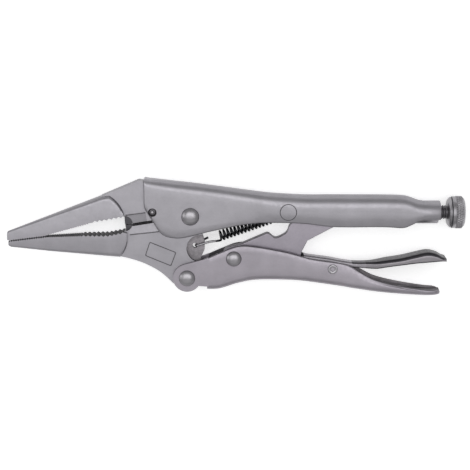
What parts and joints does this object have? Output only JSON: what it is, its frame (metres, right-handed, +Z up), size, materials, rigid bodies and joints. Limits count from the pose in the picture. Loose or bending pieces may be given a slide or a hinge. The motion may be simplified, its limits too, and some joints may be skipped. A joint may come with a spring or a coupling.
{
  "type": "locking pliers",
  "caption": "Long-nose locking pliers of plated steel, closed and lying flat, with toggle linkage, adjusting screw, return spring and release lever.",
  "frame": {"origin": "centre of the footprint on the surface it lies on", "axes": "+X from the nose to the adjusting knob, +Y towards the back of the upper handle, +Z up out of the side that faces the viewer"},
  "size_m": [0.2414, 0.0628, 0.0172],
  "materials": {
    "handle_steel": "satin nickel plate",
    "jaw_steel": "satin nickel plate on forged steel",
    "grip_steel": "satin nickel plate",
    "link_steel": "satin nickel plate, sheared edges",
    "lever_steel": "satin nickel plate",
    "rivet_steel": "bright nickel plate",
    "screw_steel": "dark zinc plate",
    "knob_steel": "knurled, dark zinc plate",
    "spring_steel": "dark oiled spring wire"
  },
  "bodies": {
    "upper_handle_body": {"upper_handle": "handle_steel", "upper_jaw": "jaw_steel", "upper_jaw_pin": "rivet_steel", "jaw_rivet": "rivet_steel", "return_spring": "spring_steel"},
    "jaw_body": {"lower_jaw": "jaw_steel"},
    "grip_body": {"lower_handle": "grip_steel", "lower_handle_rivet": "rivet_steel", "toggle_link_rivet": "rivet_steel", "release_lever_rivet": "rivet_steel"},
    "link_body": {"toggle_link": "link_steel"},
    "lever_body": {"release_lever": "lever_steel"},
    "screw_body": {"adjusting_screw": "screw_steel"},
    "knob_body": {"adjusting_knob": "knob_steel"}
  },
  "joints": [
    {"name": "jaw_open", "type": "hinge", "parent": "upper_handle_body", "child": "jaw_body", "pos_m": [-0.02345, 0.0116, 0.0086], "axis": [0, 0, 1], "range_deg": [0, 34], "deforming": ["return_spring"]},
    {"name": "grip_swing", "type": "hinge", "parent": "jaw_body", "child": "grip_body", "pos_m": [-0.02545, -0.0218, 0.0086], "axis": [0, 0, 1], "range_deg": [-96.38, 0.2]},
    {"name": "link_swing", "type": "hinge", "parent": "grip_body", "child": "link_body", "pos_m": [-0.00065, -0.0112, 0.0086], "axis": [0, 0, 1], "range_deg": [-0.2, 89.41]},
    {"name": "release_press", "type": "hinge", "parent": "grip_body", "child": "lever_body", "pos_m": [0.05165, -0.0167, 0.0086], "axis": [0, 0, 1], "range_deg": [-4, 0]},
    {"name": "screw_travel", "type": "slide", "parent": "upper_handle_body", "child": "screw_body", "axis": [1, 0, 0], "range_m": [0, 0.015]},
    {"name": "knob_turn", "type": "hinge", "parent": "screw_body", "child": "knob_body", "pos_m": [0.11655, 0.0129, 0.0086], "axis": [1, 0, 0], "range_deg": [-5, 4325]}
  ],
  "couplings": [
    {"joint": "grip_swing", "follows": "jaw_open", "ratio": -2.82},
    {"joint": "link_swing", "follows": "jaw_open", "ratio": 2.615},
    {"joint": "knob_turn", "follows": "screw_travel", "rad_per_m": 5026.5}
  ]
}
